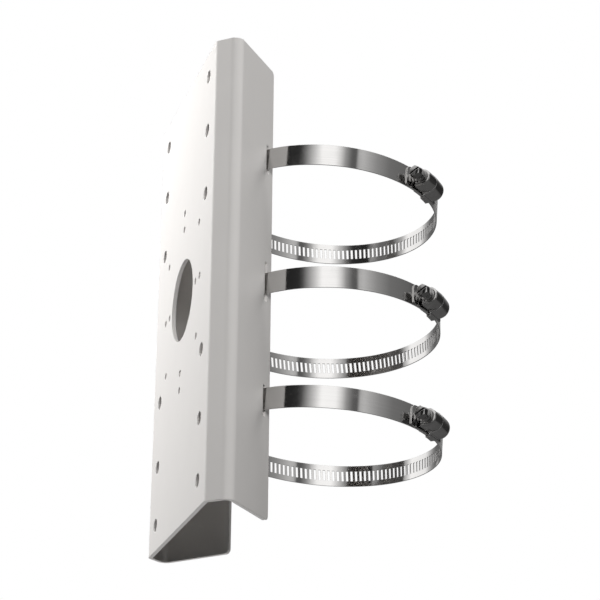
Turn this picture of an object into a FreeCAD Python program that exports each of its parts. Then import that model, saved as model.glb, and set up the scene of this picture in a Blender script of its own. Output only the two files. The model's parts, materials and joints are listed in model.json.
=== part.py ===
import FreeCAD, Part
import os
from math import cos, radians, sin
import Sketcher
from FreeCAD import Vector

# Camera pole mount bracket: a channel folded from one sheet, and three worm-drive band clamps
# that pass through slots in its lips and round the pole. Lengths are in millimetres.
# +Z runs up the pole, -Y faces the camera, and the origin is the centre of the camera face.

DIMENSIONS = [
    # Folded channel: camera face, chamfer folded back, then a lip folded inwards behind it
    ("plate_length", 300),
    ("face_width", 137),
    ("chamfer_run", 16.8),
    ("chamfer_fold", 49),
    ("lip_run", 51.4),
    ("lip_fold", 90),
    ("sheet", 2.5),
    ("face_bend", 0.8),
    ("lip_bend", 3.5),
    ("lip_corner", 3),
    # Holes in the camera face
    ("main_hole", 8.5),
    ("main_column", 52),
    ("main_row_outer", 133),
    ("main_row_middle", 95),
    ("main_row_inner", 51.5),
    ("small_hole", 4.4),
    ("square_pitch", 76),
    ("side_inner", 33),
    ("side_outer", 43),
    ("stack_inner", 49),
    ("stack_outer", 60.5),
    ("cable_hole", 53),
    # Slots through the lips
    ("slot_width", 3.2),
    ("slot_inset", 7.8),
    ("slot_length_upper", 19.5),
    ("slot_length_middle", 26),
    ("slot_length_lower", 19.5),
    ("slot_height_upper", 83.5),
    ("slot_height_middle", 0),
    ("slot_height_lower", -77.5),
    # How each clamp hangs in its slots
    ("clamp_height_upper", 83.5),
    ("clamp_height_middle", -3.3),
    ("clamp_height_lower", -77),
    ("clamp_droop_upper", 4.4),
    ("clamp_droop_middle", 1.4),
    ("clamp_droop_lower", 4.4),
    ("clamp_roll_upper", 0.6),
    ("clamp_roll_middle", 2.4),
    ("clamp_roll_lower", 0.7),
    ("band_bias", 0.3),
    # Band: one strip whose perforated tail laps over its plain end
    ("band_radius", 72),
    ("band_width", 14.2),
    ("band_thickness", 0.7),
    ("lap_gap", 0.1),
    ("screw_angle_upper", 40.3),
    ("screw_angle_middle", 43.7),
    ("screw_angle_lower", 40.9),
    ("fixed_reach", 8.2),
    ("tail_reach", 17.9),
    ("perforated_length", 290),
    ("perforation_pitch", 3.06),
    ("perforation_width", 1.5),
    ("perforation_height", 6.9),
    ("perforation_lean", 6),
    ("tip_margin", 2.75),
    ("tip_round", 3),
    # Saddle: a curved plate under the lapped band
    ("saddle_length", 17),
    ("saddle_sheet", 0.4),
    ("saddle_gap", 0.05),
    # Housing: a round nose that holds the worm, and a wider body that slopes down to its end
    ("housing_length", 24.3),
    ("body_length", 14.2),
    ("body_radius", 6.9),
    ("body_crown", 6),
    ("body_slope", 7),
    ("housing_sheet", 1.4),
    ("front_wall", 1),
    ("end_wall", 6),
    ("shoulder_clearance", 0.4),
    ("end_round", 3.5),
    ("shoulder_round", 0.7),
    ("step_round", 0.35),
    ("nose_round", 1.4),
    # Housing's legs, crimped under the saddle
    ("edge_clearance", 0.15),
    ("leg_sheet", 0.6),
    ("leg_setback", 2.5),
    ("leg_length", 8),
    ("crimp_sheet", 0.45),
    ("crimp_clearance", 0.08),
    ("crimp_reach", 3),
    # Worm screw, held between the housing's two end walls
    ("worm_radius", 4.4),
    ("worm_clearance", 0.3),
    ("bore_clearance", 0.1),
    ("end_play", 0.3),
    ("worm_chamfer", 0.8),
    ("neck_radius", 3),
    ("neck_length", 2.2),
    ("flange_radius", 3.7),
    ("flange_length", 2.9),
    ("head_flats", 7),
    ("head_length", 4.4),
    ("head_bevel_run", 1.1),
    ("head_bevel_drop", 0.6),
    ("driver_slot_width", 1.2),
    ("driver_slot_depth", 1.6),
]

CLAMPS = ("upper", "middle", "lower")

# How far a cut runs past the metal
SPARE = "1"

# An edge is picked when its ends lie within this of a place
NEAR = 0.01

doc = FreeCAD.newDocument("pole_mount_bracket")
sheet = doc.addObject("Spreadsheet::Sheet", "dims")
for row, (alias, value) in enumerate(DIMENSIONS, start=1):
    sheet.set(f"A{row}", alias)
    sheet.set(f"B{row}", str(value))
    sheet.setAlias(f"B{row}", alias)
doc.recompute()


# Sketches and features

def number(expression):
    """The present value of an expression on the sheet."""
    return float(sheet.evalExpression(expression))


def new_body(label, placement=None):
    body = doc.addObject("PartDesign::Body", label)
    body.Label = label
    if placement:
        body.setExpression("Placement", placement)
    return body


def origin_feature(body, role):
    return next(item for item in body.Origin.OriginFeatures if item.Role == role)


def new_sketch(body, name, plane, offset=None):
    sketch = body.newObject("Sketcher::SketchObject", name)
    sketch.AttachmentSupport = [(origin_feature(body, plane), "")]
    sketch.MapMode = "FlatFace"
    if offset:
        sketch.setExpression("AttachmentOffset", offset)
    return sketch


def constrain(sketch, kind, *where, size=None):
    """Adds one constraint, bound to the sheet where it has a size."""
    if size is None:
        sketch.addConstraint(Sketcher.Constraint(kind, *where))
        return
    value = number(size)
    if kind == "Angle":
        value = radians(value)
    index = sketch.addConstraint(Sketcher.Constraint(kind, *where, value))
    sketch.setExpression(f"Constraints[{index}]", size)


def place_point(sketch, edge, end, across, up):
    """Holds one point of an edge at a place given by two expressions."""
    for kind, axis, size in (("DistanceX", -2, across), ("DistanceY", -1, up)):
        if size == "0":
            constrain(sketch, "PointOnObject", edge, end, axis)
        else:
            constrain(sketch, kind, -1, 1, edge, end, size=size)


def draw_outline(sketch, corners):
    """A closed polygon through corners that are each given by two expressions."""
    points = [Vector(number(across), number(up), 0) for across, up in corners]
    edges = []
    for start, end in zip(points, points[1:] + points[:1]):
        edges.append(sketch.addGeometry(Part.LineSegment(start, end)))
    for index, edge in enumerate(edges):
        constrain(sketch, "Coincident", edges[index - 1], 2, edge, 1)
    for edge, (across, up) in zip(edges, corners):
        place_point(sketch, edge, 1, across, up)


def draw_box(sketch, low_across, low_up, high_across, high_up):
    draw_outline(sketch, [(low_across, low_up), (high_across, low_up),
                          (high_across, high_up), (low_across, high_up)])


def draw_holes(sketch, diameter, centres):
    for across, up in centres:
        centre = Vector(number(across), number(up), 0)
        hole = sketch.addGeometry(Part.Circle(centre, Vector(0, 0, 1), number(diameter) / 2))
        constrain(sketch, "Diameter", hole, size=diameter)
        place_point(sketch, hole, 3, across, up)


def pad(body, sketch, length):
    feature = body.newObject("PartDesign::Pad", sketch.Name + "_pad")
    feature.Profile = sketch
    feature.SideType = "Symmetric"
    feature.setExpression("Length", length)
    doc.recompute()
    return feature


def pocket(body, sketch, length, both_ways=False, outwards=False):
    """Cuts a sketch out of the body, and checks that something was cut."""
    before = body.Shape.Volume
    feature = body.newObject("PartDesign::Pocket", sketch.Name + "_pocket")
    feature.Profile = sketch
    feature.SideType = "Symmetric" if both_ways else "One side"
    feature.Reversed = outwards
    feature.setExpression("Length", length)
    doc.recompute()
    if not body.Shape.Volume < before:
        raise RuntimeError(f"{sketch.Name} cuts nothing from {body.Label}")
    return feature


def fillet(body, edges, radius, name):
    base = body.Tip
    feature = body.newObject("PartDesign::Fillet", name)
    feature.Base = (base, edges)
    feature.setExpression("Radius", radius)
    doc.recompute()
    return feature


def edges_where(body, test):
    """Names of the body's edges whose two ends both pass the test."""
    tip = body.Tip.Shape
    return [f"Edge{index}" for index, edge in enumerate(tip.Edges, start=1)
            if len(edge.Vertexes) == 2 and all(test(vertex.Point) for vertex in edge.Vertexes)]


# Folded channel

def fold_point(point, step, heading):
    """The sharp corner reached from a point by a straight run of sheet."""
    across, up = point
    return (f"({across} + dims.{step} * cos({heading}))", f"({up} + dims.{step} * sin({heading}))")


LIP_HEADING = "(dims.chamfer_fold + dims.lip_fold)"
FACE_CORNER = ("(dims.face_width / 2)", "0")
LIP_CORNER = fold_point(FACE_CORNER, "chamfer_run", "dims.chamfer_fold")
LIP_END = fold_point(LIP_CORNER, "lip_run", LIP_HEADING)

# Middle of the slots, on the outside of the lip
SLOT_X = f"({LIP_END[0]} - dims.slot_inset * cos({LIP_HEADING}))"
SLOT_Y = f"({LIP_END[1]} - dims.slot_inset * sin({LIP_HEADING}))"


def at(corner):
    return Vector(number(corner[0]), number(corner[1]), 0)


def inside_corner(corner, heading_in, heading_out):
    """Where the inner faces of two runs of sheet meet."""
    turn = f"(({heading_out} - {heading_in}) / 2)"
    middle = f"(({heading_out} + {heading_in}) / 2)"
    reach = number(f"dims.sheet / cos({turn})")
    return at(corner) + Vector(-number(f"sin({middle})"), number(f"cos({middle})"), 0) * reach


def draw_folded_half(sketch):
    """Right half of the section: sheet of one thickness round two folds."""
    outer = [Vector(0, 0, 0), at(FACE_CORNER), at(LIP_CORNER), at(LIP_END)]
    inner = [inside_corner(LIP_END, LIP_HEADING, LIP_HEADING),
             inside_corner(LIP_CORNER, "dims.chamfer_fold", LIP_HEADING),
             inside_corner(FACE_CORNER, "0", "dims.chamfer_fold"),
             Vector(0, number("dims.sheet"), 0)]
    points = outer + inner
    for start, end in zip(points, points[1:] + points[:1]):
        sketch.addGeometry(Part.LineSegment(start, end))
    face, chamfer, lip, lip_end, lip_inside, chamfer_inside, face_inside, middle = range(8)
    for edge in range(8):
        constrain(sketch, "Coincident", (edge - 1) % 8, 2, edge, 1)
    constrain(sketch, "Coincident", face, 1, -1, 1)
    constrain(sketch, "Horizontal", face)
    constrain(sketch, "Horizontal", face_inside)
    constrain(sketch, "Vertical", middle)
    constrain(sketch, "Distance", face, size="dims.face_width / 2")
    constrain(sketch, "Distance", chamfer, size="dims.chamfer_run")
    constrain(sketch, "Distance", lip, size="dims.lip_run")
    constrain(sketch, "Angle", chamfer, size="dims.chamfer_fold")
    constrain(sketch, "Angle", lip, size=LIP_HEADING)
    constrain(sketch, "Perpendicular", lip, lip_end)
    constrain(sketch, "Parallel", lip, lip_inside)
    constrain(sketch, "Parallel", chamfer, chamfer_inside)
    for edge in (lip_end, middle):
        constrain(sketch, "Distance", edge, size="dims.sheet")
    constrain(sketch, "Distance", chamfer_inside, 2, chamfer, size="dims.sheet")


def upright_edges(body, place):
    """The edges that run up the channel at one corner of its section."""
    return edges_where(body, lambda p: abs(p.x - place.x) < NEAR and abs(p.y - place.y) < NEAR)


def make_bracket():
    body = new_body("bracket")
    section = new_sketch(body, "folded_half", "XY_Plane")
    draw_folded_half(section)
    pad(body, section, "dims.plate_length")

    folds = (("face_bend", FACE_CORNER, "0", "dims.chamfer_fold"),
             ("lip_bend", LIP_CORNER, "dims.chamfer_fold", LIP_HEADING))
    for name, corner, heading_in, heading_out in folds:
        outside = upright_edges(body, at(corner))
        fillet(body, outside, f"dims.{name} + dims.sheet", name + "_outside")
        inside = upright_edges(body, inside_corner(corner, heading_in, heading_out))
        fillet(body, inside, f"dims.{name}", name + "_inside")

    lip_end = at(LIP_END)
    half_length = number("dims.plate_length / 2")
    reach = number("dims.sheet") + NEAR
    corners = []
    for height in (-half_length, half_length):
        corners += edges_where(body, lambda p: (p - lip_end - Vector(0, 0, height)).Length < reach)
    fillet(body, corners, "dims.lip_corner", "lip_corners")

    turn = f"rotation(vector(0; 1; 0); {LIP_HEADING} - 180)"
    slots = new_sketch(body, "lip_slots", "XZ_Plane", f"placement(vector({SLOT_X}; 0; -{SLOT_Y}); {turn})")
    for clamp in CLAMPS:
        height = f"dims.slot_height_{clamp}"
        length = f"dims.slot_length_{clamp}"
        draw_box(slots, "-dims.slot_width / 2", f"{height} - {length} / 2",
                 "dims.slot_width / 2", f"{height} + {length} / 2")
    pocket(body, slots, f"2 * (dims.sheet + {SPARE})", both_ways=True)

    other_half = body.newObject("PartDesign::Mirrored", "other_half")
    other_half.TransformMode = "Whole shape"
    other_half.MirrorPlane = (origin_feature(body, "YZ_Plane"), [""])
    body.Tip = other_half
    doc.recompute()

    main_holes = new_sketch(body, "main_holes", "XZ_Plane")
    rows = ("dims.main_row_outer", "dims.main_row_middle", "dims.main_row_inner")
    draw_holes(main_holes, "dims.main_hole",
               [(across + "dims.main_column", up + row)
                for row in rows for across in ("", "-") for up in ("", "-")])
    pocket(body, main_holes, f"dims.sheet + {SPARE}")

    small_holes = new_sketch(body, "small_holes", "XZ_Plane")
    centres = [(across + "dims.square_pitch / 2", up + "dims.square_pitch / 2")
               for across in ("", "-") for up in ("", "-")]
    for sign in ("", "-"):
        centres += [(sign + "dims.side_inner", "0"), (sign + "dims.side_outer", "0")]
        centres += [("0", sign + "dims.stack_inner"), ("0", sign + "dims.stack_outer")]
    draw_holes(small_holes, "dims.small_hole", centres)
    pocket(body, small_holes, f"dims.sheet + {SPARE}")

    cable_hole = new_sketch(body, "cable_hole_edge", "XZ_Plane")
    draw_holes(cable_hole, "dims.cable_hole", [("0", "0")])
    pocket(body, cable_hole, f"dims.sheet + {SPARE}")
    return body


# Clamps: each is built round its own axis, then hung in its slots

LAP_STEP = "(dims.band_thickness + dims.lap_gap)"
BAND_INSIDE = "(dims.band_radius - dims.band_thickness / 2)"
BAND_OUTSIDE = f"(dims.band_radius + {LAP_STEP} + dims.band_thickness / 2)"
FIXED_ANGLE = "(dims.fixed_reach / dims.band_radius * 180 / pi)"
LAP_LENGTH = "(dims.fixed_reach + dims.tail_reach)"
LAP_ANGLE = f"({LAP_LENGTH} / dims.band_radius * 180 / pi)"

# Where the band crosses the middle of the lip's sheet
BAND_X = f"({SLOT_X} + dims.band_bias * cos({LIP_HEADING}) - dims.sheet / 2 * sin({LIP_HEADING}))"
BAND_Y = f"({SLOT_Y} + dims.band_bias * sin({LIP_HEADING}) + dims.sheet / 2 * cos({LIP_HEADING}))"


def clamp_place(clamp):
    """The clamp's axis: behind the slots by what its radius needs, and tilted as it hangs."""
    tilt = f"rotationy(-dims.clamp_roll_{clamp}) * rotationx(-dims.clamp_droop_{clamp})"
    hang = f"placement(vector(0; {BAND_Y}; dims.clamp_height_{clamp}); {tilt})"
    back = f"sqrt(dims.band_radius * dims.band_radius - {BAND_X} * {BAND_X})"
    return f"{hang} * placement(vector(0; {back}; 0); rotationz(0))"


def screw_place(clamp, radius="0"):
    """Seen from the clamp's axis, +X points at the housing and +Y runs on round the band."""
    turn = f"rotationz(dims.screw_angle_{clamp})"
    return (f"{clamp_place(clamp)} * placement(vector(0; 0; 0); {turn})"
            f" * placement(vector({radius}; 0; 0); rotationz(0))")


def draw_strip(sketch):
    """The strip's path from its plain end at angle 0, once round, to the tail that laps it."""
    radii = ("dims.band_radius", f"(dims.band_radius + {LAP_STEP} / 2)", f"(dims.band_radius + {LAP_STEP})")
    spans = ("180", "180", LAP_ANGLE)
    starts = (-180, 0, -number(LAP_ANGLE))
    shift = number(f"{LAP_STEP} / 2")
    centres = (Vector(0, 0, 0), Vector(shift, 0, 0), Vector(0, 0, 0))
    sides = []
    for side in ("-", "+"):
        arcs = []
        for radius, span, start, centre in zip(radii, spans, starts, centres):
            size = f"{radius} {side} dims.band_thickness / 2"
            circle = Part.Circle(centre, Vector(0, 0, 1), number(size))
            ends = radians(start), radians(start + number(span))
            arc = sketch.addGeometry(Part.ArcOfCircle(circle, *ends))
            constrain(sketch, "Radius", arc, size=size)
            constrain(sketch, "Angle", arc, size=span)
            arcs.append(arc)
        constrain(sketch, "Coincident", arcs[0], 3, -1, 1)
        constrain(sketch, "PointOnObject", arcs[0], 2, -1)
        constrain(sketch, "Tangent", arcs[1], 2, arcs[0], 1)
        constrain(sketch, "Tangent", arcs[2], 2, arcs[1], 1)
        sides.append(arcs)
    for arc, end in ((0, 2), (2, 1)):
        inner, outer = sides[0][arc], sides[1][arc]
        points = [sketch.getPoint(edge, end) for edge in (inner, outer)]
        closing = sketch.addGeometry(Part.LineSegment(points[0], points[1]))
        constrain(sketch, "Coincident", closing, 1, inner, end)
        constrain(sketch, "Coincident", closing, 2, outer, end)


def punch_row(body, name, radius, start_angle, count):
    """A row of leaning slots, cut outwards from a radius and spaced round the band."""
    offset = f"placement(vector(0; 0; {radius}); rotation(vector(0; 1; 0); 0))"
    turn = f"placement(vector(0; 0; 0); rotation(vector(0; 1; 0); {start_angle}))"
    sketch = new_sketch(body, name, "YZ_Plane", f"{turn} * {offset}")
    half = "dims.perforation_height / 2"
    shift = f"{half} * tan(dims.perforation_lean)"
    wide = "dims.perforation_width / 2"
    draw_outline(sketch, [(f"-{wide} - {shift}", f"-{half}"), (f"{wide} - {shift}", f"-{half}"),
                          (f"{wide} + {shift}", half), (f"-{wide} + {shift}", half)])
    first = pocket(body, sketch, f"{BAND_OUTSIDE} + {SPARE} - {radius}", outwards=True)
    row = body.newObject("PartDesign::PolarPattern", name + "_row")
    row.Originals = [first]
    row.Axis = (origin_feature(body, "Z_Axis"), [""])
    row.Mode = "Spacing"
    row.setExpression("Offset", "dims.perforation_pitch / dims.band_radius * 180 / pi")
    row.setExpression("Occurrences", count)
    body.Tip = row
    doc.recompute()


def round_tip(body):
    """Rounds the two corners at the end of the tail."""
    turn = radians(-number(LAP_ANGLE))
    tip = Vector(cos(turn), sin(turn), 0) * number(f"(dims.band_radius + {LAP_STEP})")
    reach = number("dims.band_thickness")
    corners = []
    for side in (-number("dims.band_width / 2"), number("dims.band_width / 2")):
        corners += edges_where(body, lambda p: (p - tip - Vector(0, 0, side)).Length < reach)
    fillet(body, corners, "dims.tip_round", body.Label + "_tip")


def make_band(clamp):
    turn = f"rotationz(dims.screw_angle_{clamp} + {FIXED_ANGLE})"
    place = f"{clamp_place(clamp)} * placement(vector(0; 0; 0); {turn})"
    body = new_body(f"band_{clamp}", place)
    strip = new_sketch(body, f"strip_{clamp}", "XY_Plane")
    draw_strip(strip)
    pad(body, strip, "dims.band_width")
    round_tip(body)
    # The tail's slots stop short of the plain end beneath it
    lap_count = f"(ceil(({LAP_LENGTH} - dims.tip_margin) / dims.perforation_pitch) + 1)"
    run_count = f"(floor(dims.perforated_length / dims.perforation_pitch) - {lap_count})"
    start = f"(dims.tip_margin / dims.band_radius * 180 / pi - {LAP_ANGLE})"
    next_start = f"({start} + {lap_count} * dims.perforation_pitch / dims.band_radius * 180 / pi)"
    punch_row(body, f"tail_slots_{clamp}", f"(dims.band_radius + {LAP_STEP} / 2)", start, lap_count)
    punch_row(body, f"run_slots_{clamp}", "(dims.band_radius / 2)", next_start, run_count)
    return body


SADDLE_TOP = f"({BAND_INSIDE} - dims.saddle_gap)"
SADDLE_BOTTOM = f"({SADDLE_TOP} - dims.saddle_sheet)"


def draw_sector(sketch, low_radius, high_radius, half_angle):
    """A curved strip centred on the X axis, between two radii."""
    edges = []
    half = radians(number(half_angle))
    for radius in (low_radius, high_radius):
        circle = Part.Circle(Vector(0, 0, 0), Vector(0, 0, 1), number(radius))
        arc = sketch.addGeometry(Part.ArcOfCircle(circle, -half, half))
        constrain(sketch, "Coincident", arc, 3, -1, 1)
        constrain(sketch, "Radius", arc, size=radius)
        edges.append(arc)
    for end, sign in ((1, "-"), (2, "")):
        points = [sketch.getPoint(edge, end) for edge in edges]
        side = sketch.addGeometry(Part.LineSegment(points[0], points[1]))
        constrain(sketch, "Coincident", side, 1, edges[0], end)
        constrain(sketch, "Coincident", side, 2, edges[1], end)
        constrain(sketch, "Angle", side, size=sign + half_angle)
        constrain(sketch, "PointOnObject", -1, 1, side)


def make_saddle(clamp):
    body = new_body(f"saddle_{clamp}", screw_place(clamp))
    plate = new_sketch(body, f"saddle_plate_{clamp}", "XY_Plane")
    draw_sector(plate, SADDLE_BOTTOM, SADDLE_TOP, "(dims.saddle_length / 2 / dims.band_radius * 180 / pi)")
    pad(body, plate, "dims.band_width")
    return body


WORM_AXIS = f"({BAND_OUTSIDE} + dims.worm_clearance + dims.worm_radius)"
BORE_RADIUS = "(dims.worm_radius + dims.bore_clearance)"
NOSE_RADIUS = f"({BORE_RADIUS} + dims.housing_sheet)"
LEG_INSIDE = "(dims.band_width / 2 + dims.edge_clearance)"
LEG_OUTSIDE = f"({LEG_INSIDE} + dims.leg_sheet)"
SHOULDER_INSIDE = f"({BAND_OUTSIDE} + dims.shoulder_clearance)"
SHOULDER_OUTSIDE = f"({SHOULDER_INSIDE} + dims.housing_sheet)"
CRIMP_INSIDE = f"({SADDLE_BOTTOM} - dims.crimp_clearance)"
CRIMP_OUTSIDE = f"({CRIMP_INSIDE} - dims.crimp_sheet)"

# Along the housing from its middle, with the nose on the negative side
BODY_FRONT = "(dims.housing_length / 2 - dims.body_length)"
BODY_MIDDLE = "((dims.housing_length - dims.body_length) / 2)"
LEG_FRONT = f"({BODY_FRONT} + dims.leg_setback)"
LEG_REAR = f"({LEG_FRONT} + dims.leg_length)"

# Below the legs' curved ends all along them
LEG_STOCK = f"(sqrt({CRIMP_OUTSIDE} * {CRIMP_OUTSIDE} - {LEG_REAR} * {LEG_REAR}) - dims.crimp_sheet)"


def draw_arch(sketch, radius, crown, bottom):
    """A round arch that rises to its crown over the worm's axis."""
    centre = f"({WORM_AXIS} + {crown} - {radius})"
    corners = [(centre, radius), (bottom, radius), (bottom, "-" + radius), (centre, "-" + radius)]
    points = [Vector(number(across), number(up), 0) for across, up in corners]
    right, floor, left = [sketch.addGeometry(Part.LineSegment(a, b)) for a, b in zip(points, points[1:])]
    circle = Part.Circle(Vector(number(centre), 0, 0), Vector(0, 0, 1), number(radius))
    quarter = radians(90)
    crest = sketch.addGeometry(Part.ArcOfCircle(circle, -quarter, quarter))
    constrain(sketch, "Coincident", right, 2, floor, 1)
    constrain(sketch, "Coincident", floor, 2, left, 1)
    constrain(sketch, "Horizontal", right)
    constrain(sketch, "Vertical", floor)
    constrain(sketch, "Horizontal", left)
    constrain(sketch, "Tangent", crest, 1, left, 2)
    constrain(sketch, "Tangent", right, 1, crest, 2)
    constrain(sketch, "DistanceX", -1, 1, floor, 1, size=bottom)
    constrain(sketch, "DistanceX", -1, 1, crest, 3, size=centre)
    constrain(sketch, "PointOnObject", crest, 3, -1)
    constrain(sketch, "Radius", crest, size=radius)


def draw_channel(sketch):
    """From the crimps' curved inside up to the underside of the shoulders, past both ends."""
    half_angle = "(dims.housing_length / dims.band_radius * 180 / pi)"
    half = radians(number(half_angle))
    circle = Part.Circle(Vector(0, 0, 0), Vector(0, 0, 1), number(CRIMP_INSIDE))
    arc = sketch.addGeometry(Part.ArcOfCircle(circle, -half, half))
    constrain(sketch, "Coincident", arc, 3, -1, 1)
    constrain(sketch, "Radius", arc, size=CRIMP_INSIDE)
    constrain(sketch, "Angle", arc, size=f"2 * {half_angle}")
    constrain(sketch, "Symmetric", arc, 1, arc, 2, -1)
    low, high = sketch.getPoint(arc, 1), sketch.getPoint(arc, 2)
    top = number(SHOULDER_INSIDE)
    corners = [high, Vector(top, high.y, 0), Vector(top, low.y, 0), low]
    sides = [sketch.addGeometry(Part.LineSegment(a, b)) for a, b in zip(corners, corners[1:])]
    constrain(sketch, "Coincident", arc, 2, sides[0], 1)
    constrain(sketch, "Coincident", sides[0], 2, sides[1], 1)
    constrain(sketch, "Coincident", sides[1], 2, sides[2], 1)
    constrain(sketch, "Coincident", sides[2], 2, arc, 1)
    constrain(sketch, "Horizontal", sides[0])
    constrain(sketch, "Vertical", sides[1])
    constrain(sketch, "Horizontal", sides[2])
    constrain(sketch, "DistanceX", -1, 1, sides[1], 1, size=SHOULDER_INSIDE)


def section_at(body, name, place):
    """A sketch across the housing, so far along it from its middle."""
    return new_sketch(body, name, "XZ_Plane", f"placement(vector(0; 0; -{place}); rotationz(0))")


def round_rim(body, clamp, size, place):
    """Rounds the arch's rim, so far along the housing from its middle."""
    along = number(place)
    foot = number(SHOULDER_INSIDE) + NEAR
    rim = edges_where(body, lambda p: abs(p.y - along) < NEAR and p.x > foot)
    fillet(body, rim, f"dims.{size}", f"{size}_{clamp}")


def shape_shell(body, clamp):
    """The outside of the housing: the body that slopes to its end, its legs' stock and the nose."""
    arch = section_at(body, f"body_section_{clamp}", BODY_FRONT)
    draw_arch(arch, "dims.body_radius", "dims.body_crown", SHOULDER_INSIDE)
    sloped = body.newObject("PartDesign::Pad", f"body_pad_{clamp}")
    sloped.Profile = arch
    sloped.SideType = "One side"
    sloped.UseCustomVector = True
    sloped.setExpression("Direction.x", "-sin(dims.body_slope)")
    sloped.setExpression("Direction.y", "cos(dims.body_slope)")
    sloped.Direction.z = 0
    sloped.setExpression("Length", "dims.body_length")
    doc.recompute()
    round_rim(body, clamp, "end_round", "dims.housing_length / 2")
    round_rim(body, clamp, "step_round", BODY_FRONT)

    legs = section_at(body, f"leg_section_{clamp}", BODY_MIDDLE)
    draw_box(legs, LEG_STOCK, "-" + LEG_OUTSIDE, SHOULDER_OUTSIDE, LEG_OUTSIDE)
    pad(body, legs, "dims.body_length")
    side, shoulder = number(LEG_OUTSIDE), number(SHOULDER_OUTSIDE)
    folds = edges_where(body, lambda p: abs(abs(p.z) - side) < NEAR and abs(p.x - shoulder) < NEAR)
    fillet(body, folds, "dims.shoulder_round", f"shoulder_folds_{clamp}")

    nose = section_at(body, f"nose_section_{clamp}", "(-dims.body_length / 2)")
    draw_arch(nose, NOSE_RADIUS, NOSE_RADIUS, SHOULDER_INSIDE)
    pad(body, nose, "dims.housing_length - dims.body_length")
    round_rim(body, clamp, "nose_round", "-dims.housing_length / 2")


def make_housing(clamp):
    body = new_body(f"housing_{clamp}", screw_place(clamp))
    shape_shell(body, clamp)

    channel = new_sketch(body, f"band_channel_{clamp}", "XY_Plane")
    draw_channel(channel)
    pocket(body, channel, f"2 * {LEG_INSIDE}", both_ways=True)
    underside = new_sketch(body, f"crimp_underside_{clamp}", "XY_Plane")
    draw_holes(underside, f"(2 * {CRIMP_OUTSIDE})", [("0", "0")])
    pocket(body, underside, f"2 * ({LEG_OUTSIDE} + {SPARE})", both_ways=True)

    room = section_at(body, f"worm_room_{clamp}", "((dims.front_wall - dims.end_wall) / 2)")
    draw_arch(room, BORE_RADIUS, BORE_RADIUS, "dims.band_radius")
    pocket(body, room, "dims.housing_length - dims.front_wall - dims.end_wall", both_ways=True)
    mouth = section_at(body, f"neck_mouth_{clamp}", "(-dims.housing_length / 2)")
    neck = "(dims.neck_radius + dims.bore_clearance)"
    draw_arch(mouth, neck, neck, "dims.band_radius")
    pocket(body, mouth, f"2 * (dims.front_wall + {SPARE})", both_ways=True)

    between = new_sketch(body, f"between_crimps_{clamp}", "XZ_Plane")
    inner = f"({LEG_INSIDE} - dims.crimp_reach)"
    draw_box(between, LEG_STOCK, "-" + inner, SADDLE_TOP, inner)
    pocket(body, between, f"dims.housing_length + {SPARE}", both_ways=True)
    beside = new_sketch(body, f"beside_legs_{clamp}", "XY_Plane")
    below = f"({LEG_STOCK} - {SPARE})"
    for low, high in (("-dims.housing_length", LEG_FRONT), (LEG_REAR, "dims.housing_length")):
        draw_box(beside, below, low, SHOULDER_INSIDE, high)
    pocket(body, beside, f"2 * ({LEG_OUTSIDE} + {SPARE})", both_ways=True)
    return body


# Along the screw's own axis, measured from the middle of the housing towards the head
WORM_REAR = "(dims.end_wall + dims.end_play - dims.housing_length / 2)"
WORM_FRONT = "(dims.housing_length / 2 - dims.front_wall - dims.end_play)"
NECK_END = "(dims.housing_length / 2 + dims.neck_length)"
HEAD_START = f"({NECK_END} + dims.flange_length)"
HEAD_END = f"({HEAD_START} + dims.head_length)"


def make_screw(clamp):
    upend = "placement(vector(0; 0; 0); rotationx(90))"
    body = new_body(f"screw_{clamp}", f"{screw_place(clamp, WORM_AXIS)} * {upend}")
    profile = new_sketch(body, f"turned_profile_{clamp}", "XZ_Plane")
    draw_outline(profile, [
        ("0", WORM_REAR),
        ("(dims.worm_radius - dims.worm_chamfer)", WORM_REAR),
        ("dims.worm_radius", f"({WORM_REAR} + dims.worm_chamfer)"),
        ("dims.worm_radius", WORM_FRONT),
        ("dims.neck_radius", WORM_FRONT),
        ("dims.neck_radius", NECK_END),
        ("dims.flange_radius", NECK_END),
        ("dims.flange_radius", HEAD_START),
        ("0", HEAD_START),
    ])
    turned = body.newObject("PartDesign::Revolution", f"turned_{clamp}")
    turned.Profile = profile
    turned.ReferenceAxis = (profile, ["V_Axis"])
    turned.Angle = 360
    doc.recompute()

    hexagon = new_sketch(body, f"hexagon_{clamp}", "XY_Plane",
                         f"placement(vector(0; 0; ({HEAD_START} + {HEAD_END}) / 2); rotationz(0))")
    point = "(dims.head_flats / 2 / cos(30))"
    draw_outline(hexagon, [(f"{point} * cos({60 * corner + 30})", f"{point} * sin({60 * corner + 30})")
                           for corner in range(6)])
    pad(body, hexagon, "dims.head_length")

    # The bevel's slope runs on past the hexagon's corner and its end by its own length
    bevel = new_sketch(body, f"head_bevel_{clamp}", "XZ_Plane")
    draw_outline(bevel, [
        (f"({point} - 2 * dims.head_bevel_run)", f"({HEAD_END} + dims.head_bevel_drop)"),
        (f"({point} + dims.head_bevel_run)", f"({HEAD_END} - 2 * dims.head_bevel_drop)"),
        (f"({point} + dims.head_bevel_run)", f"({HEAD_END} + dims.head_bevel_drop)"),
    ])
    turned_bevel = body.newObject("PartDesign::Groove", f"turned_bevel_{clamp}")
    turned_bevel.Profile = bevel
    turned_bevel.ReferenceAxis = (bevel, ["V_Axis"])
    turned_bevel.Angle = 360
    doc.recompute()

    driver_slot = new_sketch(body, f"driver_slot_{clamp}", "XY_Plane",
                             f"placement(vector(0; 0; {HEAD_END}); rotationz(30))")
    draw_box(driver_slot, f"-{point} - {SPARE}", "-dims.driver_slot_width / 2",
             f"{point} + {SPARE}", "dims.driver_slot_width / 2")
    pocket(body, driver_slot, "dims.driver_slot_depth")
    return body


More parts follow.
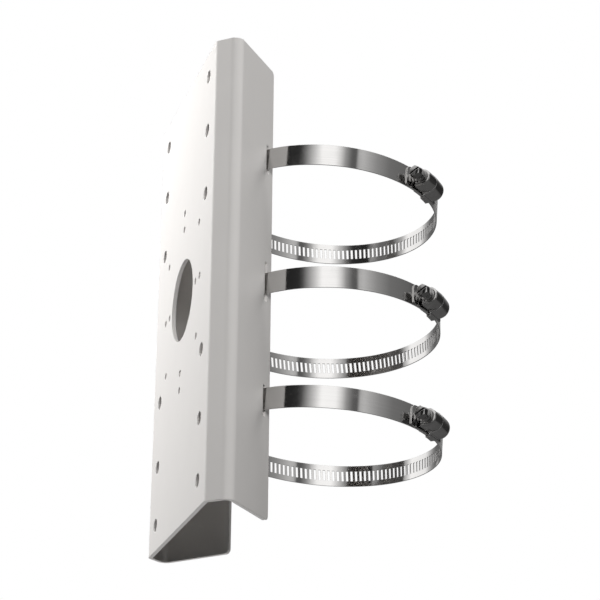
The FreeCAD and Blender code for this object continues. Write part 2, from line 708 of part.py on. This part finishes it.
pieces = [make_bracket()]
for clamp in CLAMPS:
    pieces += [make_band(clamp), make_saddle(clamp), make_housing(clamp), make_screw(clamp)]
doc.recompute()

for item in doc.Objects:
    if "Invalid" in item.State or "Error" in item.State:
        raise RuntimeError(f"{item.Label} failed: {item.State}")
for piece in pieces:
    shape = piece.Shape
    if shape.isNull() or not shape.isValid() or len(shape.Solids) != 1:
        raise RuntimeError(f"{piece.Label} isn't one valid solid")

os.makedirs("parts", exist_ok=True)
for piece in pieces:
    piece.Shape.exportStep(f"parts/{piece.Label}.step")
    print(piece.Label, round(piece.Shape.Volume / 1000, 3), "cm3")
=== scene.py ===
import json
from math import cos, pi, radians, sin

import bmesh
import bpy
from mathutils import Matrix, Vector


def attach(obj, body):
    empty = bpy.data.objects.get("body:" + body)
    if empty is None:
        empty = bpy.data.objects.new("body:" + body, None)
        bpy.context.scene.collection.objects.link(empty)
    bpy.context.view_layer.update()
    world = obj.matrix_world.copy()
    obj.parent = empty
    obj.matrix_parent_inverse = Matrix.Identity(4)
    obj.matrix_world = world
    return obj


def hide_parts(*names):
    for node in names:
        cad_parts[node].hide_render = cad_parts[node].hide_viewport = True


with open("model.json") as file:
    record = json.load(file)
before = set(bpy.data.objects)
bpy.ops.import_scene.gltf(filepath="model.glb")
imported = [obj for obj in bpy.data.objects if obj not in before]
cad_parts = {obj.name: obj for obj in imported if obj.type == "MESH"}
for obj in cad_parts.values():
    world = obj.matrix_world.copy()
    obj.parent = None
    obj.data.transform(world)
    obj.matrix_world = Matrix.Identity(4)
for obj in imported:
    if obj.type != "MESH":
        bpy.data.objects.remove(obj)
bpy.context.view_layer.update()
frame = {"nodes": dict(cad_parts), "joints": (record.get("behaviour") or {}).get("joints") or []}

scene = bpy.context.scene
scene.view_settings.view_transform = "Standard"

# The camera stands to the right of the bracket and well below it, looking up. Its place, turn
# and lens come from the photograph's outlines: corners, hole pattern, folds and band edges.
CAMERA_PLACE = (1.0686, -0.2578, -0.4470)
CAMERA_TURN = (112.219, -0.386, 72.393)
SENSOR = 36
LENS = 112.43

camera_data = bpy.data.cameras.new("camera")
camera_data.sensor_width = SENSOR
camera_data.lens = LENS
camera_data.clip_start = 0.01
camera = bpy.data.objects.new("camera", camera_data)
camera.location = CAMERA_PLACE
camera.rotation_euler = [radians(turn) for turn in CAMERA_TURN]
scene.collection.objects.link(camera)
scene.camera = camera

# The bracket is one folded sheet of steel, laser cut and then powder coated all over in a warm
# pale grey. The coat has a fine orange-peel surface, and is a little duller here and there. Along
# the cut edges its colour is paled, partly where the coat pulls thin and partly as a painted highlight.
COAT_TONE = 226
COAT_DULL_TONE = 219
COAT_THIN_EDGE_HIGHLIGHT_TONE = 238
COAT_WARMTH = 0.028
COAT_ROUGHNESS = 0.42
# How strongly the coat's edges pale (thin coat and painted highlight) and shine, and its clouds change its
# roughness
EDGE_PAINTED_HIGHLIGHT = 0.6
EDGE_SHINE = 0.08
CLOUD_DULLING = 0.1
CLOUD_SCALE = 28
PEEL_SCALE = 900
PEEL_HEIGHT = 0.00002
PEEL_STRENGTH = 0.35
EDGE_WIDTH = 0.0006
EDGE_SAMPLES = 6
# How far from the face's own direction the rounded one is at a square edge
SQUARE_EDGE = 0.29


class Value:
    """A number that varies over a surface. Arithmetic on it adds Math nodes."""

    def __init__(self, tree, socket):
        self.tree = tree
        self.socket = socket

    def math(self, operation, *values):
        node = self.tree.nodes.new("ShaderNodeMath")
        node.operation = operation
        for socket, value in zip(node.inputs, values):
            if isinstance(value, Value):
                self.tree.links.new(value.socket, socket)
            else:
                socket.default_value = value
        return Value(self.tree, node.outputs[0])

    def __add__(self, other):
        return self.math("ADD", self, other)

    def __sub__(self, other):
        return self.math("SUBTRACT", self, other)

    def __mul__(self, other):
        return self.math("MULTIPLY", self, other)

    def __truediv__(self, other):
        return self.math("DIVIDE", self, other)

    def __radd__(self, other):
        return self.math("ADD", other, self)

    def __rsub__(self, other):
        return self.math("SUBTRACT", other, self)

    def __rmul__(self, other):
        return self.math("MULTIPLY", other, self)

    def __rtruediv__(self, other):
        return self.math("DIVIDE", other, self)


class Nodes:
    """The nodes of one material or of the world."""

    def __init__(self, owner):
        owner.use_nodes = True
        self.tree = owner.node_tree
        self.tree.nodes.clear()

    def add(self, kind, settings=None, **sockets):
        """Adds a node: its settings first, then a value or link for each named socket."""
        node = self.tree.nodes.new("ShaderNode" + kind)
        for name, value in (settings or {}).items():
            if name == "stops":
                self.set_stops(node.color_ramp, value)
            else:
                setattr(node, name, value)
        for name, value in sockets.items():
            socket = next(s for s in node.inputs if s.enabled and s.identifier.replace(" ", "_") == name)
            if isinstance(value, Value):
                self.tree.links.new(value.socket, socket)
            else:
                socket.default_value = value
        return {s.name.replace(" ", "_"): Value(self.tree, s) for s in node.outputs if s.enabled}

    def mix(self, share, first, second):
        """A colour that goes from the first to the second as the share goes from 0 to 1."""
        mixed = self.add("Mix", {"data_type": "RGBA"}, Factor_Float=share, A_Color=first, B_Color=second)
        return mixed["Result"]

    def dot(self, first, second):
        return self.add("VectorMath", {"operation": "DOT_PRODUCT"}, Vector=first, Vector_001=second)["Value"]

    def set_stops(self, ramp, stops):
        while len(ramp.elements) < len(stops):
            ramp.elements.new(0.5)
        for element, (place, colour) in zip(ramp.elements, stops):
            element.position = place
            element.color = colour


def tone(level, warmth=0.0):
    """A grey as seen on a screen, from 0 to 255, as a linear colour with a little warmth."""
    linear = (level / 255) ** 2.2
    return (linear * (1 + warmth), linear, linear * (1 - warmth), 1)


def give(material, *objects):
    for item in objects:
        item.data.materials.clear()
        item.data.materials.append(material)


def rounded_edges(nodes, width):
    """The surface's direction with its sharp edges rounded, and a mask that is 1 along them."""
    rounded = nodes.add("Bevel", {"samples": EDGE_SAMPLES}, Radius=width)["Normal"]
    flat = nodes.add("NewGeometry")["Normal"]
    turned = (1 - nodes.dot(rounded, flat)) / SQUARE_EDGE
    return rounded, turned.math("MINIMUM", turned, 1.0)


def powder_coat():
    material = bpy.data.materials.new("powder_coat")
    nodes = Nodes(material)
    place = nodes.add("TexCoord")["Object"]
    rounded, edge = rounded_edges(nodes, EDGE_WIDTH)
    clouds = nodes.add("TexNoise", Vector=place, Scale=CLOUD_SCALE, Detail=4.0, Roughness=0.6)["Fac"]
    coat = nodes.mix(clouds, tone(COAT_TONE, COAT_WARMTH), tone(COAT_DULL_TONE, COAT_WARMTH))
    # Painted highlight: the coat's colour is paled along its cut edges, partly for the thin coat there
    colour = nodes.mix(edge * EDGE_PAINTED_HIGHLIGHT, coat, tone(COAT_THIN_EDGE_HIGHLIGHT_TONE))
    peel = nodes.add("TexNoise", Vector=place, Scale=PEEL_SCALE, Detail=2.0, Roughness=0.5)["Fac"]
    bump = nodes.add("Bump", Strength=PEEL_STRENGTH, Distance=PEEL_HEIGHT, Height=peel,
                     Normal=rounded)["Normal"]
    roughness = COAT_ROUGHNESS + (clouds - 0.5) * CLOUD_DULLING - edge * EDGE_SHINE
    shader = nodes.add("BsdfPrincipled", Base_Color=colour, Roughness=roughness, Normal=bump)["BSDF"]
    nodes.add("OutputMaterial", Surface=shader)
    return material


give(powder_coat(), frame["nodes"]["bracket"])

# Each band is a strip of bright stainless steel, slit to width, bent into a ring, with a row of
# leaning slots pressed in for the worm. Rolling leaves faint lines along its length, and handling
# leaves dull smudges. The curved saddle under each housing is cut from the same steel.
CLAMPS = ("upper", "middle", "lower")
# Degrees that each clamp rolls sideways, and droops to the rear, as it hangs in its slots
HANG = {"upper": (0.6, 4.4), "middle": (2.4, 1.4), "lower": (0.7, 4.4)}
STEEL_TONE = 202
STEEL_LINE_TONE = 184
# The slit edges are paled towards this tone as a painted highlight
STEEL_EDGE_HIGHLIGHT_TONE = 227
STEEL_WARMTH = 0.015
STEEL_ROUGHNESS = 0.08
LINE_LENGTH = 0.12
LINE_WIDTH = 0.0005
LINE_HEIGHT = 0.0000012
LINE_STRENGTH = 0.5
SMUDGE_SCALE = 70
SMUDGE_SOFTNESS = 0.05
SLIT_EDGE_WIDTH = 0.00025
SLIT_EDGE_PAINTED_HIGHLIGHT = 0.5
# How strongly lines, smudges and slit edges roughen the steel
LINE_DULLING = 0.06
SMUDGE_DULLING = 0.4
SLIT_EDGE_DULLING = 0.12


def ring_axis(clamp):
    """The direction across the width of a clamp's band, which its ring goes round."""
    roll, droop = HANG[clamp]
    sideways = Matrix.Rotation(radians(-roll), 3, "Y")
    rearwards = Matrix.Rotation(radians(-droop), 3, "X")
    return sideways @ rearwards @ Vector((0, 0, 1))


def rolled_steel(clamp):
    material = bpy.data.materials.new(f"rolled_steel_{clamp}")
    nodes = Nodes(material)
    place = nodes.add("TexCoord")["Object"]
    rounded, edge = rounded_edges(nodes, SLIT_EDGE_WIDTH)
    across = nodes.dot(place, ring_axis(clamp))
    lines = nodes.add("TexNoise", {"noise_dimensions": "4D"}, Vector=place,
                      W=across * (LINE_LENGTH / LINE_WIDTH), Scale=1 / LINE_LENGTH, Detail=4.0,
                      Roughness=0.6)["Fac"]
    smudges = nodes.add("TexNoise", Vector=place, Scale=SMUDGE_SCALE, Detail=3.0, Roughness=0.6)["Fac"]
    dull = smudges.math("SMOOTH_MAX", smudges - 0.5, 0.0, SMUDGE_SOFTNESS)
    steel = nodes.mix(lines, tone(STEEL_TONE, STEEL_WARMTH), tone(STEEL_LINE_TONE, STEEL_WARMTH))
    # Painted highlight: the steel's colour is paled along the slit edges
    colour = nodes.mix(edge * SLIT_EDGE_PAINTED_HIGHLIGHT, steel, tone(STEEL_EDGE_HIGHLIGHT_TONE))
    bump = nodes.add("Bump", Strength=LINE_STRENGTH, Distance=LINE_HEIGHT, Height=lines,
                     Normal=rounded)["Normal"]
    roughness = STEEL_ROUGHNESS + (lines - 0.5) * LINE_DULLING + dull * SMUDGE_DULLING
    roughness = roughness + edge * SLIT_EDGE_DULLING
    shader = nodes.add("BsdfPrincipled", Base_Color=colour, Metallic=1.0, Roughness=roughness,
                       Normal=bump)["BSDF"]
    nodes.add("OutputMaterial", Surface=shader)
    return material


for clamp in CLAMPS:
    give(rolled_steel(clamp), frame["nodes"][f"band_{clamp}"], frame["nodes"][f"saddle_{clamp}"])

# Each housing is a shell pressed from thicker steel over the worm, with its legs crimped under the
# saddle. The presses and the tumbling drum leave it duller than the band, with small dings, and
# rub its corners; their colour is paled, partly for the rubbing and partly as a painted highlight.
HOUSING_TONE = 186
HOUSING_DARK_TONE = 150
HOUSING_RUBBED_HIGHLIGHT_TONE = 248
HOUSING_ROUGHNESS = 0.22
MOTTLE_SCALE = 180
MOTTLE_DULLING = 0.2
DING_SCALE = 650
DING_HEIGHT = 0.000006
DING_STRENGTH = 0.3
RUBBED_HIGHLIGHT_WIDTH = 0.0008
RUBBED_DULLING = 0.28


def tumbled_steel():
    material = bpy.data.materials.new("tumbled_steel")
    nodes = Nodes(material)
    place = nodes.add("TexCoord")["Object"]
    rounded, edge = rounded_edges(nodes, RUBBED_HIGHLIGHT_WIDTH)
    mottle = nodes.add("TexNoise", Vector=place, Scale=MOTTLE_SCALE, Detail=4.0, Roughness=0.65)["Fac"]
    dings = nodes.add("TexVoronoi", {"feature": "SMOOTH_F1"}, Vector=place, Scale=DING_SCALE)["Distance"]
    steel = nodes.mix(mottle, tone(HOUSING_TONE, STEEL_WARMTH), tone(HOUSING_DARK_TONE, STEEL_WARMTH))
    # Partly rubbed wear and partly painted highlight: the corners are paled towards a near-white tone
    colour = nodes.mix(edge, steel, tone(HOUSING_RUBBED_HIGHLIGHT_TONE))
    bump = nodes.add("Bump", Strength=DING_STRENGTH, Distance=DING_HEIGHT, Height=dings + mottle,
                     Normal=rounded)["Normal"]
    roughness = HOUSING_ROUGHNESS + (mottle - 0.5) * MOTTLE_DULLING + edge * RUBBED_DULLING
    shader = nodes.add("BsdfPrincipled", Base_Color=colour, Metallic=1.0, Roughness=roughness,
                       Normal=bump)["BSDF"]
    nodes.add("OutputMaterial", Surface=shader)
    return material


housing_steel = tumbled_steel()
give(housing_steel, *[frame["nodes"][f"housing_{clamp}"] for clamp in CLAMPS])

# Each screw is turned from hexagon bar: a worm whose thread fits the band's slots, a neck, a
# flange, and a hexagon head with a driver slot. The lathe leaves fine rings round its axis.
WORM_REAR = -0.00585
WORM_FRONT = 0.01085
WORM_CREST = 0.00437
WORM_ROOT = 0.0032
THREAD_PITCH = 0.00306
THREAD_ROOT_WIDTH = 0.0017
THREAD_CREST_WIDTH = 0.0007
THREAD_STEPS = 36
# The thread's foot lies a little inside the core, so that the two join
THREAD_FOOT = 0.97 * WORM_ROOT
CORE_SEGMENTS = 48
MERGE_DISTANCE = 1e-7
SHARP_ANGLE = 32
RING_WIDTH = 0.00018
RING_HEIGHT = 0.0000008
RING_STRENGTH = 0.5
SCREW_TONE = 150
SCREW_RING_TONE = 122
# The screw's sharp edges are paled towards this tone as a painted highlight
SCREW_EDGE_HIGHLIGHT_TONE = 248
SCREW_ROUGHNESS = 0.2
SCREW_MOTTLE_DULLING = 0.15
SCREW_EDGE_WIDTH = 0.00025
SCREW_EDGE_PAINTED_HIGHLIGHT = 0.6
SCREW_EDGE_DULLING = 0.15


def turned_steel(clamp, axis):
    material = bpy.data.materials.new(f"turned_steel_{clamp}")
    nodes = Nodes(material)
    place = nodes.add("TexCoord")["Object"]
    rounded, edge = rounded_edges(nodes, SCREW_EDGE_WIDTH)
    along = nodes.dot(place, axis)
    rings = nodes.add("TexNoise", {"noise_dimensions": "1D"}, W=along, Scale=1 / RING_WIDTH,
                      Detail=3.0)["Fac"]
    mottle = nodes.add("TexNoise", Vector=place, Scale=MOTTLE_SCALE, Detail=3.0)["Fac"]
    turned = (rings + mottle) / 2
    steel = nodes.mix(turned, tone(SCREW_TONE, STEEL_WARMTH), tone(SCREW_RING_TONE, STEEL_WARMTH))
    # Painted highlight: the screw's colour is paled along its sharp edges
    colour = nodes.mix(edge * SCREW_EDGE_PAINTED_HIGHLIGHT, steel, tone(SCREW_EDGE_HIGHLIGHT_TONE))
    bump = nodes.add("Bump", Strength=RING_STRENGTH, Distance=RING_HEIGHT, Height=rings,
                     Normal=rounded)["Normal"]
    roughness = SCREW_ROUGHNESS + (mottle - 0.5) * SCREW_MOTTLE_DULLING + edge * SCREW_EDGE_DULLING
    shader = nodes.add("BsdfPrincipled", Base_Color=colour, Metallic=1.0, Roughness=roughness,
                       Normal=bump)["BSDF"]
    nodes.add("OutputMaterial", Surface=shader)
    return material


def cut_flat(shape, place, direction):
    """Cuts a closed shape at a plane, keeps what lies along the direction, and closes the cut."""
    everything = shape.verts[:] + shape.edges[:] + shape.faces[:]
    cut = bmesh.ops.bisect_plane(shape, geom=everything, plane_co=place, plane_no=direction,
                                 clear_inner=True)
    rim = [item for item in cut["geom_cut"] if isinstance(item, bmesh.types.BMEdge)]
    bmesh.ops.holes_fill(shape, edges=rim)


def add_thread(shape):
    """The worm's helical ridge round +Z: its section is wound past both ends, then cut flat."""
    turns = (WORM_FRONT - WORM_REAR) / THREAD_PITCH + 2
    steps = round(turns * THREAD_STEPS)
    low = WORM_REAR - THREAD_PITCH
    section = [(THREAD_FOOT, -THREAD_ROOT_WIDTH / 2), (WORM_CREST, -THREAD_CREST_WIDTH / 2),
               (WORM_CREST, THREAD_CREST_WIDTH / 2), (THREAD_FOOT, THREAD_ROOT_WIDTH / 2)]
    face = shape.faces.new([shape.verts.new((out, 0, low + up)) for out, up in section])
    bmesh.ops.spin(shape, geom=[face] + face.edges[:] + face.verts[:], axis=(0, 0, 1), cent=(0, 0, 0),
                   dvec=(0, 0, THREAD_PITCH / THREAD_STEPS), angle=2 * pi * steps / THREAD_STEPS,
                   steps=steps)
    bmesh.ops.holes_fill(shape, edges=[edge for edge in shape.edges if edge.is_boundary])


def worm_screw(clamp, place, axis):
    """The CAD screw's neck, flange and head, with a threaded worm in place of its plain one."""
    turn = axis.to_track_quat("Z", "Y").to_matrix().to_4x4()
    worm = bmesh.new()
    add_thread(worm)
    cut_flat(worm, (0, 0, WORM_REAR), (0, 0, 1))
    cut_flat(worm, (0, 0, WORM_FRONT), (0, 0, -1))
    middle = (WORM_FRONT + WORM_REAR) / 2
    bmesh.ops.create_cone(worm, cap_ends=True, segments=CORE_SEGMENTS, radius1=WORM_ROOT,
                          radius2=WORM_ROOT, depth=WORM_FRONT - WORM_REAR,
                          matrix=Matrix.Translation((0, 0, middle)))
    bmesh.ops.transform(worm, matrix=Matrix.Translation(place) @ turn, verts=worm.verts)
    worm_mesh = bpy.data.meshes.new("worm")
    worm.to_mesh(worm_mesh)
    worm.free()

    shape = bmesh.new()
    shape.from_mesh(frame["nodes"][f"screw_{clamp}"].data)
    bmesh.ops.remove_doubles(shape, verts=shape.verts, dist=MERGE_DISTANCE)
    cut_flat(shape, place + axis * WORM_FRONT, axis)
    shape.from_mesh(worm_mesh)
    bmesh.ops.recalc_face_normals(shape, faces=shape.faces)
    for face in shape.faces:
        face.smooth = True
    for edge in shape.edges:
        edge.smooth = edge.calc_face_angle(pi) < radians(SHARP_ANGLE)
    mesh = bpy.data.meshes.new(f"worm_screw_{clamp}")
    shape.to_mesh(mesh)
    shape.free()
    bpy.data.meshes.remove(worm_mesh)
    piece = bpy.data.objects.new(f"worm_screw_{clamp}", mesh)
    scene.collection.objects.link(piece)
    return piece


for joint in frame["joints"]:
    clamp = joint["child"].removeprefix("screw_")
    axis = Vector(joint["axis"]).normalized()
    screw = worm_screw(clamp, Vector(joint["pos_m"]), axis)
    give(turned_steel(clamp, axis), screw)
    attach(screw, f"screw_{clamp}")
    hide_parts(f"screw_{clamp}")

# The studio: a white floor far below the bracket, four soft lamps, and round it the pale panels and
# dark flags that the polished steel mirrors. The lamps themselves don't show in the steel.
FLOOR_HEIGHT = -2.4
FLOOR_SIZE = 20
FLOOR_TONE = 45
FLOOR_MIRRORED = 0.16

floor_mesh = bpy.data.meshes.new("floor")
shape = bmesh.new()
bmesh.ops.create_grid(shape, x_segments=1, y_segments=1, size=FLOOR_SIZE / 2)
shape.to_mesh(floor_mesh)
shape.free()
floor_mesh.transform(Matrix.Translation((0, 0, FLOOR_HEIGHT)))
floor = bpy.data.objects.new("floor", floor_mesh)
scene.collection.objects.link(floor)

floor_material = bpy.data.materials.new("floor")
nodes = Nodes(floor_material)
ray = nodes.add("LightPath")
matt = nodes.add("BsdfDiffuse", Color=tone(FLOOR_TONE))["BSDF"]
mirrored = nodes.add("Emission", Strength=FLOOR_MIRRORED)["Emission"]
white = nodes.add("Emission", Strength=1.0)["Emission"]
surface = nodes.add("MixShader", Fac=ray["Is_Glossy_Ray"], Shader=matt, Shader_001=mirrored)["Shader"]
surface = nodes.add("MixShader", Fac=ray["Is_Camera_Ray"], Shader=surface, Shader_001=white)["Shader"]
nodes.add("OutputMaterial", Surface=surface)
give(floor_material, floor)

# Each lamp's compass direction and height in degrees, its distance and size, and its watts
LAMPS = {
    "key": (-125, 34, 0.82, 0.4, 11.6),
    "front": (-5, 6, 1.1, 0.35, 6.7),
    "rear": (70, 38, 1.0, 0.4, 3.1),
    "under": (0, -90, 2.3, 0.3, 22),
}


def lamp_place(compass, height, distance):
    level = cos(radians(height))
    way = Vector((level * cos(radians(compass)), level * sin(radians(compass)), sin(radians(height))))
    return way * distance


for name, (compass, height, distance, size, watts) in LAMPS.items():
    lamp = bpy.data.lights.new(name, "AREA")
    lamp.energy = watts
    lamp.size = size
    lamp_object = bpy.data.objects.new(name, lamp)
    lamp_object.location = lamp_place(compass, height, distance)
    lamp_object.rotation_euler = (-lamp_object.location).to_track_quat("-Z", "Y").to_euler()
    lamp_object.visible_camera = False
    lamp_object.visible_glossy = False
    scene.collection.objects.link(lamp_object)

# Compass direction in degrees from +X towards +Y, and the brightness there
PANELS = (
    (-180, 0.14), (-166, 0.2), (-158, 0.4), (-150, 0.8), (-143, 1.4), (-118, 1.6),
    (-109, 0.7), (-95, 0.2), (-78, 0.22), (-74, 0.38), (-67, 0.5), (-66.5, 0.02), (-47, 0.04),
    (-43, 0.12), (-37, 0.5), (-30, 1.0), (-23, 1.65), (-9, 1.6), (-4, 1.15), (1.5, 0.5), (8, 0.18),
    (13.5, 0.14), (14.5, 0.7), (20, 0.8), (27, 0.62), (35, 0.44), (50, 0.26), (75, 0.2), (90, 0.04),
    (115, 0.04), (130, 0.25), (170, 0.4),
)
# A ramp's colours go up to 1, so they hold the brightness divided by this strength
PANEL_STRENGTH = 2.0
# The overhead panel fades in between these two sines of the height above the horizon
OVERHEAD_LOW = 0.6
OVERHEAD_HIGH = 0.7
OVERHEAD_BRIGHTNESS = 1.4
AMBIENT = 0.03


def panel_colour(brightness):
    level = brightness / PANEL_STRENGTH
    return (level, level, level, 1)


world = bpy.data.worlds.new("studio")
scene.world = world
nodes = Nodes(world)
way = nodes.add("SeparateXYZ", Vector=nodes.add("TexCoord")["Generated"])
compass = way["X"].math("ARCTAN2", way["Y"], way["X"])
stops = [((degrees + 180) / 360, panel_colour(brightness)) for degrees, brightness in PANELS]
panels = nodes.add("ValToRGB", {"stops": stops}, Fac=compass / (2 * pi) + 0.5)["Color"]
overhead = (way["Z"] - OVERHEAD_LOW) / (OVERHEAD_HIGH - OVERHEAD_LOW)
panels = nodes.mix(overhead, panels, panel_colour(OVERHEAD_BRIGHTNESS))
ray = nodes.add("LightPath")
mirrored = nodes.add("Background", Color=panels, Strength=PANEL_STRENGTH)["Background"]
plain = nodes.add("Background", Color=(1, 1, 1, 1), Strength=AMBIENT)["Background"]
white = nodes.add("Background", Color=(1, 1, 1, 1), Strength=1.0)["Background"]
light = nodes.add("MixShader", Fac=ray["Is_Glossy_Ray"], Shader=plain, Shader_001=mirrored)["Shader"]
light = nodes.add("MixShader", Fac=ray["Is_Camera_Ray"], Shader=light, Shader_001=white)["Shader"]
nodes.add("OutputWorld", Surface=light)
